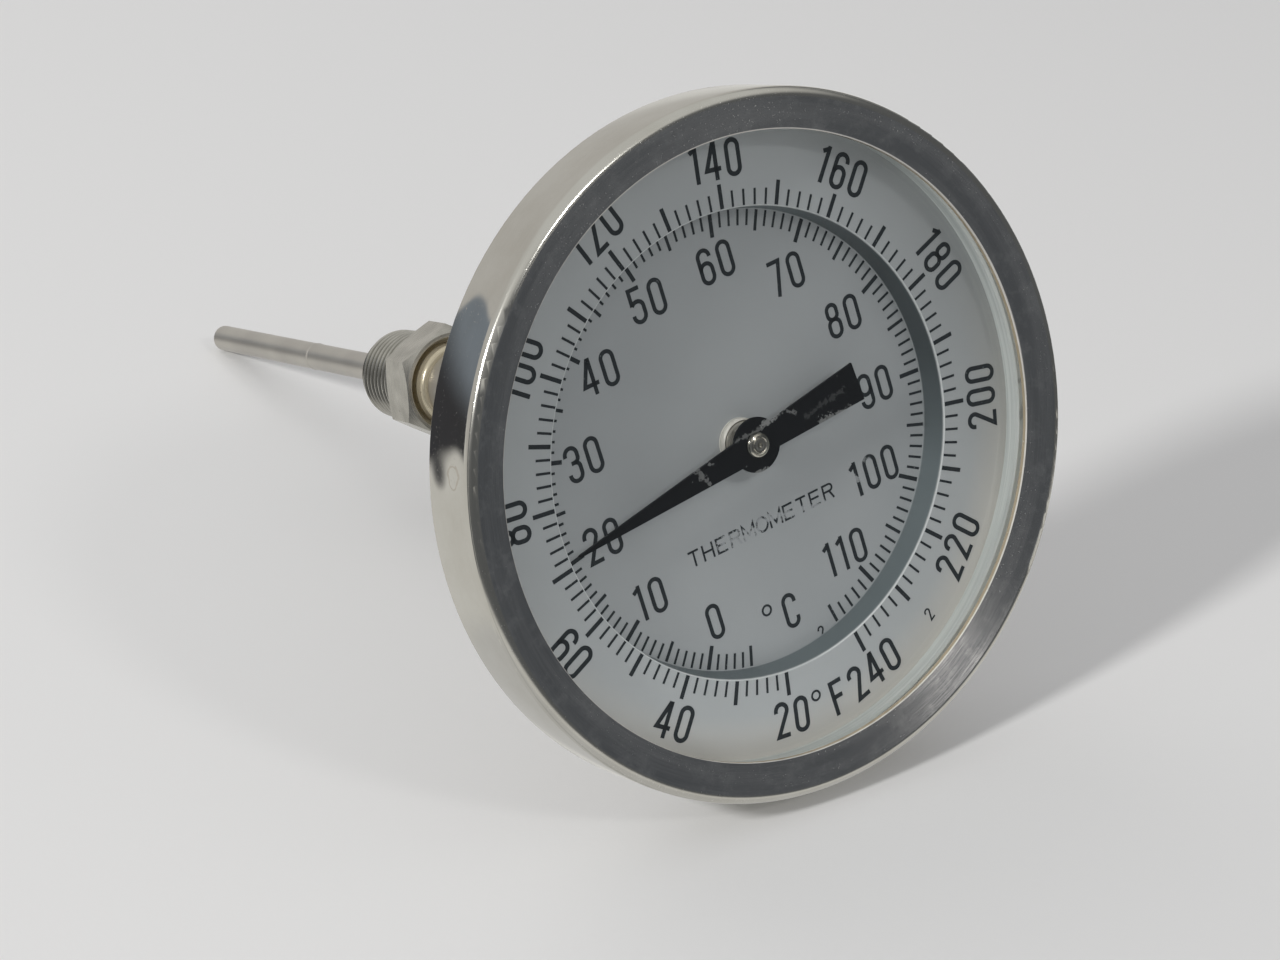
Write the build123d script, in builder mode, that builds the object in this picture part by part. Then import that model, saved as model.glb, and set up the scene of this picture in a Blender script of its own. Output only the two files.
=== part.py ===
"""Dial thermometer with a long neck, a hexagon pipe fitting and a thin sensing stem.

Frame: +Y runs along the stem towards its tip, the dial faces -Y, +Z is 12 o'clock on the dial.
The origin is on the axis, in the plane where the hexagon ends and the pipe thread begins.
Everything is in millimetres. Profiles are drawn as (radius, y) and turned about the Y axis.
"""

from build123d import *

import os
from math import cos, radians, sin

# ---------------------------------------------------------------- driving dimensions
FACE_Y = -138.0  # plane of the bezel's front ridge
TIP_Y = 115.0  # tip of the stem

# case and bezel
BEZEL_R = 68.25
BEZEL_RIDGE_R = 66.3
BEZEL_LIP_R = 60.3
BEZEL_LIP_DROP = 1.45  # how far the lip lies behind the ridge
BEZEL_SHEET = 1.2
BEZEL_DEPTH = 15.4
BEZEL_CRIMP_R = 65.2
PAN_SHEET = 1.0
PAN_WALL_R = 60.5
PAN_BACK = 21.0  # outside of the pan's floor, behind the ridge plane
PAN_CORNER = 3.0

# window and dial stack, each a distance behind the ridge plane
LENS_FRONT = 2.9
LENS_BACK = 5.9
LENS_R = 66.2
DIAL_RING_FRONT = 9.34
DIAL_DISC_FRONT = 15.07
DIAL_SHEET = 0.8
DIAL_R = 65.8
DIAL_STEP_R = 45.64  # edge of the raised ring
DIAL_DISC_R = 44.9  # foot of the step wall
SPACER_BORE_R = 61.6
STACK_R = 66.4

# pointer
POINTER_SHEET = 0.5
POINTER_TIP_R = 43.5
POINTER_TAIL_R = 26.2
POINTER_HUB_R = 5.4
POINTER_ROOT_HALF = 3.0
POINTER_TIP_HALF = 0.25
TAIL_ROOT_HALF = 2.5
TAIL_END_HALF = 4.0
POINTER_REST_DEG = -94.0  # clockwise from 12 o'clock, seen from the front
CAP_R = 2.5
CAP_HEIGHT = 1.1
SHAFT_R = 0.9
RUNNING_GAP = 0.05

# neck and fitting
NECK_R = 8.0
NECK_BORE_R = 6.5
HEX_FLATS = 23.8
HEX_LENGTH = 10.0
HEX_RECESS_R = 10.8
HEX_RECESS_DEPTH = 3.0
THREAD_LENGTH = 18.0
THREAD_R = 10.67  # crest radius where the thread meets the hexagon
THREAD_PITCH = 1.814
THREAD_TAPER = 1 / 32  # radius lost per length
THREAD_DEPTH = 1.1
THREAD_LAND = 0.4  # plain ring between the hexagon and the first thread

# stem
STEM_R = 3.175
STEM_BORE_R = 2.675
JOINT_Y = 58.0
JOINT_WIDTH = 0.8
TIP_CONE = 3.0
TIP_PLUG_Y = TIP_Y - 8.0

# bimetal element
HELIX_R = 1.9
HELIX_STRIP = 0.3
HELIX_WIDTH = 1.5
HELIX_PITCH = 2.4
HELIX_TURNS = 20
HELIX_START_Y = 54.0

# ---------------------------------------------------------------- planes derived from them
BEZEL_BACK_Y = FACE_Y + BEZEL_DEPTH
PAN_BACK_Y = FACE_Y + PAN_BACK
PAN_FLANGE_Y = BEZEL_BACK_Y - BEZEL_SHEET - PAN_SHEET
LENS_FRONT_Y = FACE_Y + LENS_FRONT
LENS_BACK_Y = FACE_Y + LENS_BACK
RING_Y = FACE_Y + DIAL_RING_FRONT
DISC_Y = FACE_Y + DIAL_DISC_FRONT
DISC_BACK_Y = DISC_Y + DIAL_SHEET
NECK_TOP_Y = FACE_Y + 19.0
HEX_FRONT_Y = -HEX_LENGTH
RECESS_Y = HEX_FRONT_Y + HEX_RECESS_DEPTH
BLADE_FRONT_Y = RING_Y - POINTER_SHEET / 2
BLADE_BACK_Y = RING_Y + POINTER_SHEET / 2
SHAFT_BORE_R = SHAFT_R + RUNNING_GAP
HELIX_LENGTH = HELIX_PITCH * HELIX_TURNS
HELIX_END_Y = HELIX_START_Y + HELIX_LENGTH
SPIGOT_R = HELIX_R - HELIX_STRIP / 2 - 0.03


def turned(points):
    """Turn a closed outline of (radius, y) points about the Y axis, into the part being built."""
    with BuildSketch(Plane.XY) as profile:
        with BuildLine():
            Polyline(*points, close=True)
        make_face()
    revolve(profile.sketch, axis=Axis.Y)


def ring(r_in, r_out, y0, y1):
    """A plain turned ring, or a disc where r_in is 0."""
    turned([(r_in, y0), (r_out, y0), (r_out, y1), (r_in, y1)])


def round_edges(part, radius_near, y_near, size):
    """Round the circular edges of that radius that lie at that height on the axis."""
    edges = [
        e
        for e in part.edges().filter_by(GeomType.CIRCLE)
        if abs(e.radius - radius_near) < 0.01 and abs(e.arc_center.Y - y_near) < 0.01
    ]
    fillet(edges, size)


# ---------------------------------------------------------------- case
# Bezel: dished face ring, rolled outer corner, deep side band, back edge crimped over the pan.
with BuildPart() as bezel_ring:
    roll = BEZEL_R - BEZEL_RIDGE_R
    inner_band_r = BEZEL_R - BEZEL_SHEET
    crimp_front_y = BEZEL_BACK_Y - BEZEL_SHEET
    with BuildSketch(Plane.XY):
        with BuildLine():
            lip = (BEZEL_LIP_R, FACE_Y + BEZEL_LIP_DROP)
            ridge = (BEZEL_RIDGE_R, FACE_Y)
            Line(lip, ridge)
            RadiusArc(ridge, (BEZEL_R, FACE_Y + roll), -roll)
            Polyline(
                (BEZEL_R, FACE_Y + roll),
                (BEZEL_R, BEZEL_BACK_Y - 1.0),
                (BEZEL_R - 0.4, BEZEL_BACK_Y - 0.25),
                (BEZEL_R - 1.1, BEZEL_BACK_Y),
                (BEZEL_CRIMP_R, BEZEL_BACK_Y),
                (BEZEL_CRIMP_R, crimp_front_y),
                (inner_band_r, crimp_front_y),
                (inner_band_r, FACE_Y + roll + 0.2),
                (BEZEL_RIDGE_R - 0.1, FACE_Y + BEZEL_SHEET),
                (BEZEL_LIP_R, FACE_Y + BEZEL_LIP_DROP + BEZEL_SHEET),
                lip,
            )
        make_face()
    revolve(axis=Axis.Y)

# Case pan: flange under the crimp, straight wall, flat floor with a pressed ring, hole for the neck.
with BuildPart() as case_pan:
    wall_in = PAN_WALL_R - PAN_SHEET
    flange_back_y = PAN_FLANGE_Y + PAN_SHEET
    floor_in_y = PAN_BACK_Y - PAN_SHEET
    press_in, press_out, press_rise = 24.0, 40.0, 1.2
    turned(
        [
            (wall_in, PAN_FLANGE_Y),
            (BEZEL_R - BEZEL_SHEET - 0.1, PAN_FLANGE_Y),
            (BEZEL_R - BEZEL_SHEET - 0.1, flange_back_y),
            (PAN_WALL_R, flange_back_y),
            (PAN_WALL_R, PAN_BACK_Y - PAN_CORNER),
            (PAN_WALL_R - PAN_CORNER * 0.3, PAN_BACK_Y - PAN_CORNER * 0.3),
            (PAN_WALL_R - PAN_CORNER, PAN_BACK_Y),
            (press_out, PAN_BACK_Y),
            (press_out - press_rise, PAN_BACK_Y + press_rise),
            (press_in + press_rise, PAN_BACK_Y + press_rise),
            (press_in, PAN_BACK_Y),
            (NECK_R, PAN_BACK_Y),
            (NECK_R, floor_in_y),
            (press_in + 0.4, floor_in_y),
            (press_in + 0.4 + press_rise, floor_in_y + press_rise),
            (press_out - 0.4 - press_rise, floor_in_y + press_rise),
            (press_out - 0.4, floor_in_y),
            (wall_in - PAN_CORNER + 0.7, floor_in_y),
            (wall_in - 0.7, floor_in_y - 0.7),
            (wall_in, floor_in_y - PAN_CORNER + 0.7),
        ]
    )

# Case boss: turned collar on the pan's back that the neck is welded through.
with BuildPart() as case_boss:
    boss_r, boss_length = 14.0, 7.0
    turned(
        [
            (NECK_R, PAN_BACK_Y),
            (boss_r, PAN_BACK_Y),
            (boss_r, PAN_BACK_Y + boss_length * 0.35),
            (boss_r - 2.5, PAN_BACK_Y + boss_length * 0.6),
            (boss_r - 4.2, PAN_BACK_Y + boss_length),
            (NECK_R, PAN_BACK_Y + boss_length),
        ]
    )

# ---------------------------------------------------------------- window and dial
# Lens gasket: wedge between the dished lip and the flat glass.
with BuildPart() as lens_gasket:
    gasket_in = BEZEL_LIP_R + 0.5
    gasket_out = BEZEL_RIDGE_R - 0.6
    slope = BEZEL_LIP_DROP / (BEZEL_RIDGE_R - 0.1 - BEZEL_LIP_R)
    lip_back_y = FACE_Y + BEZEL_SHEET + BEZEL_LIP_DROP
    turned(
        [
            (gasket_in, lip_back_y - slope * (gasket_in - BEZEL_LIP_R)),
            (gasket_out, lip_back_y - slope * (gasket_out - BEZEL_LIP_R)),
            (gasket_out, LENS_FRONT_Y),
            (gasket_in, LENS_FRONT_Y),
        ]
    )

# Window lens: flat glass with ground edges.
with BuildPart() as window_lens:
    edge = 0.4
    turned(
        [
            (0, LENS_FRONT_Y),
            (LENS_R - edge, LENS_FRONT_Y),
            (LENS_R, LENS_FRONT_Y + edge),
            (LENS_R, LENS_BACK_Y - edge),
            (LENS_R - edge, LENS_BACK_Y),
            (0, LENS_BACK_Y),
        ]
    )

# Lens spacer: pale ring that holds the glass off the dial and makes the wall seen round it.
with BuildPart() as lens_spacer:
    turned(
        [
            (SPACER_BORE_R + 0.5, LENS_BACK_Y),
            (STACK_R, LENS_BACK_Y),
            (STACK_R, RING_Y),
            (SPACER_BORE_R, RING_Y),
            (SPACER_BORE_R, LENS_BACK_Y + 0.5),
        ]
    )

# Dial plate: one pressing, raised outer ring, step wall and recessed disc with a centre hole.
with BuildPart() as dial_plate:
    dial_hole_r = 3.0
    turned(
        [
            (DIAL_STEP_R, RING_Y),
            (DIAL_R, RING_Y),
            (DIAL_R, RING_Y + DIAL_SHEET),
            (DIAL_STEP_R + DIAL_SHEET, RING_Y + DIAL_SHEET),
            (DIAL_DISC_R + DIAL_SHEET, DISC_BACK_Y),
            (dial_hole_r, DISC_BACK_Y),
            (dial_hole_r, DISC_Y),
            (DIAL_DISC_R, DISC_Y),
        ]
    )
    round_edges(dial_plate, DIAL_STEP_R, RING_Y, 0.2)

# Dial support ring: packs the dial forward of the pan's flange.
with BuildPart() as dial_support_ring:
    ring(PAN_WALL_R - PAN_SHEET, DIAL_R, RING_Y + DIAL_SHEET, PAN_FLANGE_Y)

# Upper bearing: flanged bush in the mouth of the neck, its shank comes through the dial.
with BuildPart() as upper_bearing:
    shank_r = 2.9
    bearing_back_y = FACE_Y + 24.0
    turned(
        [
            (SHAFT_BORE_R, DISC_Y - 1.0),
            (shank_r, DISC_Y - 1.0),
            (shank_r, DISC_BACK_Y),
            (NECK_BORE_R, DISC_BACK_Y),
            (NECK_BORE_R, bearing_back_y),
            (SHAFT_BORE_R, bearing_back_y),
        ]
    )

# Dial nut: turned silver ring that clamps the dial onto the bearing.
with BuildPart() as dial_nut:
    nut_r, nut_height, nut_bevel = 4.7, 1.5, 0.35
    turned(
        [
            (shank_r, DISC_Y - nut_height + 0.2),
            (shank_r + 0.6, DISC_Y - nut_height + 0.2),
            (shank_r + 0.75, DISC_Y - nut_height),
            (nut_r - nut_bevel, DISC_Y - nut_height),
            (nut_r, DISC_Y - nut_height + nut_bevel),
            (nut_r, DISC_Y),
            (shank_r, DISC_Y),
        ]
    )

# ---------------------------------------------------------------- pointer and shaft
# Pointer: flat blade with a long tapered needle, a round middle and a flared tail.
with BuildPart() as pointer_blade:
    along = radians(90 - POINTER_REST_DEG)
    blade_plane = Plane(
        origin=(0, BLADE_FRONT_Y, 0),
        x_dir=(cos(along), 0, sin(along)),
        z_dir=(0, -1, 0),
    )
    with BuildSketch(blade_plane):
        with BuildLine():
            Polyline(
                (0, POINTER_ROOT_HALF),
                (POINTER_TIP_R, POINTER_TIP_HALF),
                (POINTER_TIP_R + POINTER_TIP_HALF, 0),
                (POINTER_TIP_R, -POINTER_TIP_HALF),
                (0, -POINTER_ROOT_HALF),
                close=True,
            )
        make_face()
        with BuildLine():
            Polyline(
                (0, TAIL_ROOT_HALF),
                (-POINTER_TAIL_R, TAIL_END_HALF),
                (-POINTER_TAIL_R, -TAIL_END_HALF),
                (0, -TAIL_ROOT_HALF),
                close=True,
            )
        make_face()
        Circle(POINTER_HUB_R)
        Circle(SHAFT_R, mode=Mode.SUBTRACT)
    extrude(amount=-POINTER_SHEET)

# Pointer cap: small turned head with a domed rim and one turned groove.
with BuildPart() as pointer_cap:
    cap_y = BLADE_FRONT_Y - CAP_HEIGHT
    turned(
        [
            (0, cap_y + 0.1),
            (0.35, cap_y + 0.1),
            (0.5, cap_y),
            (1.35, cap_y),
            (1.5, cap_y + 0.15),
            (1.65, cap_y + 0.02),
            (CAP_R - 0.6, cap_y + 0.08),
            (CAP_R - 0.2, cap_y + 0.3),
            (CAP_R, cap_y + 0.7),
            (CAP_R, BLADE_FRONT_Y),
            (0, BLADE_FRONT_Y),
        ]
    )

# Pointer bush: the blade is riveted to it, and it is pressed on the shaft.
with BuildPart() as pointer_bush:
    bush_r, bush_length = 2.4, 2.6
    ring(SHAFT_R, bush_r, BLADE_BACK_Y, BLADE_BACK_Y + bush_length)

# Pointer shaft: one thin rod from the blade down the neck to the bimetal's coupling.
with BuildPart() as pointer_shaft:
    shaft_end_y = HELIX_START_Y - 4.0
    ring(0, SHAFT_R, BLADE_FRONT_Y, shaft_end_y)

# Thrust collar: keeps the shaft from sliding forward, just behind the upper bearing.
with BuildPart() as thrust_collar:
    collar_front_y = bearing_back_y + 0.4
    ring(SHAFT_R, 2.6, collar_front_y, collar_front_y + 3.0)

# Helix coupling: cup on the shaft's end, with a spigot inside the bimetal's first turns.
with BuildPart() as helix_coupling:
    coupling_r = 2.3
    turned(
        [
            (SHAFT_R, shaft_end_y - 3.0),
            (coupling_r, shaft_end_y - 3.0),
            (coupling_r, HELIX_START_Y - 1.2),
            (SPIGOT_R, HELIX_START_Y - 1.2),
            (SPIGOT_R, HELIX_START_Y + HELIX_WIDTH),
            (0, HELIX_START_Y + HELIX_WIDTH),
            (0, shaft_end_y),
            (SHAFT_R, shaft_end_y),
        ]
    )

# ---------------------------------------------------------------- neck and fitting
with BuildPart() as neck_tube:
    ring(NECK_BORE_R, NECK_R, NECK_TOP_Y, RECESS_Y)

# Neck collar: polished rounded ring round the neck, standing out of the hexagon's recess.
with BuildPart() as neck_collar:
    collar_r = 9.4
    collar_y = HEX_FRONT_Y - 2.3
    ring(NECK_R, collar_r, collar_y, RECESS_Y)
    round_edges(neck_collar, collar_r, collar_y, 1.2)

# Process fitting: hexagon with bevelled corners, recess for the neck, tapered pipe thread.
with BuildPart() as process_fitting:
    with BuildSketch(Plane.XZ.offset(-HEX_FRONT_Y)):
        RegularPolygon(radius=HEX_FLATS / 2, side_count=6, major_radius=False, rotation=16)
    extrude(amount=-HEX_LENGTH)
    # The bevels: keep only what lies inside a turned barrel with 30 degree ends.
    corner_r = HEX_FLATS / 2 / cos(radians(30))
    bevel = (corner_r - HEX_FLATS / 2 + 0.2) * 0.6
    with BuildSketch(Plane.XY):
        with BuildLine():
            Polyline(
                (0, HEX_FRONT_Y),
                (HEX_FLATS / 2 - 0.2, HEX_FRONT_Y),
                (corner_r + 0.1, HEX_FRONT_Y + bevel),
                (corner_r + 0.1, -bevel),
                (HEX_FLATS / 2 - 0.2, 0),
                (0, 0),
                close=True,
            )
        make_face()
    revolve(axis=Axis.Y, mode=Mode.INTERSECT)
    # Pipe thread: a plain land at the hexagon, crests and roots along the taper, and a bevelled end.
    crest_count = int((THREAD_LENGTH - 2.6) / THREAD_PITCH)
    outline = [(0, 0), (THREAD_R, 0), (THREAD_R, THREAD_LAND), (THREAD_R - THREAD_DEPTH, THREAD_LAND + 0.5)]
    for crest in range(crest_count):
        y_crest = THREAD_LAND + 0.5 + (crest + 0.5) * THREAD_PITCH
        r_crest = THREAD_R - THREAD_TAPER * y_crest
        flat = THREAD_PITCH * 0.08
        outline += [(r_crest, y_crest - flat), (r_crest, y_crest + flat)]
        y_root = y_crest + THREAD_PITCH / 2
        r_root = THREAD_R - THREAD_TAPER * y_root - THREAD_DEPTH
        outline += [(r_root, y_root)]
    end_r = THREAD_R - THREAD_TAPER * THREAD_LENGTH - THREAD_DEPTH
    outline += [(end_r, THREAD_LENGTH - 0.6), (end_r - 0.8, THREAD_LENGTH), (0, THREAD_LENGTH)]
    turned(outline)
    # Bores: recess for the neck, neck bore, then the stem's hole.
    with BuildSketch(Plane.XY):
        with BuildLine():
            Polyline(
                (0, HEX_FRONT_Y),
                (HEX_RECESS_R, HEX_FRONT_Y),
                (HEX_RECESS_R - 0.4, RECESS_Y),
                (NECK_BORE_R, RECESS_Y),
                (NECK_BORE_R, -2.0),
                (STEM_R, -2.0),
                (STEM_R, THREAD_LENGTH),
                (0, THREAD_LENGTH),
                close=True,
            )
        make_face()
    revolve(axis=Axis.Y, mode=Mode.SUBTRACT)

# Neck guide bush: holds the long shaft steady half way down the neck.
with BuildPart() as neck_guide_bush:
    guide_y = (NECK_TOP_Y + RECESS_Y) / 2
    ring(SHAFT_BORE_R, NECK_BORE_R, guide_y, guide_y + 5.0)

# ---------------------------------------------------------------- stem
with BuildPart() as stem_upper_tube:
    ring(STEM_BORE_R, STEM_R, -2.0, JOINT_Y)

# Stem joint ring: the weld between the two stem tubes, a low ridge just proud of them.
with BuildPart() as stem_joint_ring:
    turned(
        [
            (STEM_BORE_R, JOINT_Y),
            (STEM_R, JOINT_Y),
            (STEM_R + 0.12, JOINT_Y + JOINT_WIDTH / 2),
            (STEM_R, JOINT_Y + JOINT_WIDTH),
            (STEM_BORE_R, JOINT_Y + JOINT_WIDTH),
        ]
    )

with BuildPart() as stem_sensing_tube:
    tube_end_y = TIP_Y - TIP_CONE - 1.2
    ring(STEM_BORE_R, STEM_R, JOINT_Y + JOINT_WIDTH, tube_end_y)

# Stem tip: plug with a blunt cone.
with BuildPart() as stem_tip:
    turned(
        [
            (0, TIP_PLUG_Y),
            (STEM_BORE_R, TIP_PLUG_Y),
            (STEM_BORE_R, tube_end_y),
            (STEM_R, tube_end_y),
            (STEM_R, TIP_Y - TIP_CONE),
            (0.7, TIP_Y - 0.25),
            (0.3, TIP_Y),
            (0, TIP_Y),
        ]
    )

with BuildPart() as stem_guide_bush:
    stem_guide_y = 20.0
    ring(SHAFT_BORE_R, STEM_BORE_R, stem_guide_y, stem_guide_y + 4.0)

# ---------------------------------------------------------------- bimetal element
# Bimetal helix: flat strip wound on edge of the coupling's spigot, its far end on the anchor.
with BuildPart() as bimetal_helix:
    helix_base_y = HELIX_START_Y + HELIX_WIDTH / 2
    with BuildLine() as winding:
        Helix(
            pitch=HELIX_PITCH,
            height=HELIX_LENGTH - HELIX_WIDTH,
            radius=HELIX_R,
            center=(0, helix_base_y, 0),
            direction=(0, 1, 0),
        )
    start = winding.line @ 0
    outward = Vector(start.X, 0, start.Z).normalized()
    section_plane = Plane(origin=start, x_dir=outward, z_dir=winding.line % 0)
    with BuildSketch(section_plane):
        Rectangle(HELIX_STRIP, HELIX_WIDTH)
    sweep(path=winding.line, is_frenet=True)

# Helix anchor: fixed plug in the stem, its spigot inside the bimetal's last turns.
with BuildPart() as helix_anchor:
    turned(
        [
            (0, HELIX_END_Y - HELIX_WIDTH),
            (SPIGOT_R, HELIX_END_Y - HELIX_WIDTH),
            (SPIGOT_R, HELIX_END_Y + 0.8),
            (STEM_BORE_R, HELIX_END_Y + 0.8),
            (STEM_BORE_R, HELIX_END_Y + 3.8),
            (0, HELIX_END_Y + 3.8),
        ]
    )

# ---------------------------------------------------------------- labels and files
pieces = {
    "bezel_ring": bezel_ring,
    "case_pan": case_pan,
    "case_boss": case_boss,
    "lens_gasket": lens_gasket,
    "window_lens": window_lens,
    "lens_spacer": lens_spacer,
    "dial_plate": dial_plate,
    "dial_support_ring": dial_support_ring,
    "upper_bearing": upper_bearing,
    "dial_nut": dial_nut,
    "pointer_blade": pointer_blade,
    "pointer_cap": pointer_cap,
    "pointer_bush": pointer_bush,
    "pointer_shaft": pointer_shaft,
    "thrust_collar": thrust_collar,
    "helix_coupling": helix_coupling,
    "neck_tube": neck_tube,
    "neck_collar": neck_collar,
    "process_fitting": process_fitting,
    "neck_guide_bush": neck_guide_bush,
    "stem_upper_tube": stem_upper_tube,
    "stem_joint_ring": stem_joint_ring,
    "stem_sensing_tube": stem_sensing_tube,
    "stem_tip": stem_tip,
    "stem_guide_bush": stem_guide_bush,
    "bimetal_helix": bimetal_helix,
    "helix_anchor": helix_anchor,
}

os.makedirs("parts", exist_ok=True)
for label, piece in pieces.items():
    piece.part.label = label
    export_step(piece.part, f"parts/{label}.step")
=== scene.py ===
from math import cos, hypot, radians, sin, sqrt

import bpy
from mathutils import Matrix, Vector


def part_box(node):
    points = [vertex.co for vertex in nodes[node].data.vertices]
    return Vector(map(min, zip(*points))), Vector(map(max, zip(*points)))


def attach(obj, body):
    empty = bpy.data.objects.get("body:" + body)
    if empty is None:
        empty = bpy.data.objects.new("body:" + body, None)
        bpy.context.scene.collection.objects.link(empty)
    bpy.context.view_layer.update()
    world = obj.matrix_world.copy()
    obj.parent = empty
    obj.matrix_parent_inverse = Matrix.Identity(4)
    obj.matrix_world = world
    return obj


# The dial thermometer's looks. Metres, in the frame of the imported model: +Y runs along the stem to its
# tip, the dial faces -Y, and +Z is 12 o'clock. Angles on the dial run clockwise from 12, in degrees.

MM = 0.001

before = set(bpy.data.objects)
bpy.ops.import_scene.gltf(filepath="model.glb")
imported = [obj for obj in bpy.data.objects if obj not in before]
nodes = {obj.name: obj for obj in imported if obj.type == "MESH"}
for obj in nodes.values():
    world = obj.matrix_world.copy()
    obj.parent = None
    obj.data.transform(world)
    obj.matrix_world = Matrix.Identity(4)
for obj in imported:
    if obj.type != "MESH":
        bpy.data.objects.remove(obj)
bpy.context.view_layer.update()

# ---------------------------------------------------------------- camera and table

CAMERA_PLACE = Vector((-0.27441, -0.59047, 0.18451))
CAMERA_RIGHT = Vector((0.7898, -0.5385, -0.2937)).normalized()
CAMERA_FORWARD = Vector((0.4476, 0.8334, -0.3243))
CAMERA_LENS_MM = 83.47
CAMERA_SENSOR_MM = 36


def make_camera():
    """The viewpoint: the thermometer lies with its dial turned a little about its own axis."""
    back = -(CAMERA_FORWARD - CAMERA_FORWARD.dot(CAMERA_RIGHT) * CAMERA_RIGHT).normalized()
    up = back.cross(CAMERA_RIGHT)
    camera = bpy.data.objects.new("camera", bpy.data.cameras.new("camera"))
    camera.data.lens = CAMERA_LENS_MM
    camera.data.sensor_width = CAMERA_SENSOR_MM
    camera.data.clip_start = 0.01
    camera.matrix_world = Matrix.LocRotScale(
        CAMERA_PLACE, Matrix((CAMERA_RIGHT, up, back)).transposed(), None
    )
    bpy.context.scene.collection.objects.link(camera)
    bpy.context.scene.camera = camera


def table_plane():
    """Normal and height of the table: it touches the case's back rim and the stem's tip, and it is level
    across the picture, so its normal is square to the camera's right."""
    rim_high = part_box("bezel_ring")[1]
    tip_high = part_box("stem_tip")[1]
    rim_r, tip_r = rim_high.z, tip_high.z
    rim_y, tip_y = rim_high.y, tip_high.y - tip_r
    lean = (rim_r - tip_r) / (rim_y - tip_y)
    across = 1 / sqrt(1 + lean * lean)
    ny = lean * across
    right = CAMERA_RIGHT
    slope = right.z / right.x
    offset = right.y * ny / right.x
    a = 1 + slope * slope
    b = 2 * slope * offset
    c = offset * offset - across * across
    nz = (-b + sqrt(b * b - 4 * a * c)) / (2 * a)
    normal = Vector((-offset - slope * nz, ny, nz))
    return normal, ny * rim_y - rim_r * across


make_camera()
TABLE_NORMAL, TABLE_HEIGHT = table_plane()
TABLE_RIGHT = CAMERA_RIGHT
TABLE_AWAY = TABLE_NORMAL.cross(TABLE_RIGHT).normalized()
CASE_MIDDLE = Vector((0, (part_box("bezel_ring")[0].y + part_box("bezel_ring")[1].y) / 2, 0))


def from_table(right, away, up):
    """A direction given by its parts along the table's right, away from the camera, and up."""
    return right * TABLE_RIGHT + away * TABLE_AWAY + up * TABLE_NORMAL


# ---------------------------------------------------------------- node materials

BEZEL_LOW, BEZEL_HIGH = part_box("bezel_ring")
BEZEL_ROLL = 1.95 * MM                           # radius of the corner between face and side band
BEZEL_FACE = 6.0 * MM                            # width of the dished face
SIDE_R = BEZEL_HIGH.x                            # outside of the bezel's side band
RIDGE_R = SIDE_R - BEZEL_ROLL                    # where the face ends and the rolled corner begins
LIP_R = RIDGE_R - BEZEL_FACE                     # inner edge of the face
LIP_FRONT = BEZEL_LOW.y + 1.45 * MM              # the lip lies a little behind the ridge
BAND_FRONT = BEZEL_LOW.y + BEZEL_ROLL            # where the rolled corner ends and the band begins
BAND_BACK = BEZEL_HIGH.y - 1.0 * MM
BAND_BULGE = 0.22 * MM
WATER_MARK_ANGLE = radians(-70)
WATER_MARK = (SIDE_R * sin(WATER_MARK_ANGLE), BEZEL_LOW.y + 5.8 * MM, SIDE_R * cos(WATER_MARK_ANGLE))
NUT_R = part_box("dial_nut")[1].x
THREAD_R = 10.67 * MM                            # crest of the thread beside the hexagon
THREAD_TAPER = 1 / 32
RECESS_R = 10.8 * MM                             # recess in the hexagon's front
RECESS_BACK = -6.2 * MM                          # the recess lies in front of this height
RING_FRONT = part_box("dial_plate")[0].y           # front of the outer, Fahrenheit ring
DISC_FRONT = RING_FRONT + 5.73 * MM              # front of the sunk, Celsius disc
STEP_R = 45.64 * MM                              # edge of the ring, where the step down begins

MIX_A, MIX_B, MIX_RESULT = 6, 7, 2               # a colour Mix node's sockets
VALUE_MIX_A, VALUE_MIX_B = 2, 3                  # a value Mix node's sockets


def add_node(tree, kind, inputs, **settings):
    """A shader node with its settings, and its inputs, each a plain value or another node's output."""
    made = tree.nodes.new("ShaderNode" + kind)
    for key, value in settings.items():
        setattr(made, key, value)
    for key, value in inputs.items():
        if isinstance(value, bpy.types.NodeSocket):
            tree.links.new(value, made.inputs[key])
        else:
            made.inputs[key].default_value = value
    return made


def add_mix(tree, share, a, b):
    """Colour a where share is 0 and colour b where it is 1."""
    full = {
        key: (*value, 1) if isinstance(value, tuple) else value for key, value in ((MIX_A, a), (MIX_B, b))
    }
    return add_node(tree, "Mix", {0: share, **full}, data_type="RGBA").outputs[MIX_RESULT]


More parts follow.
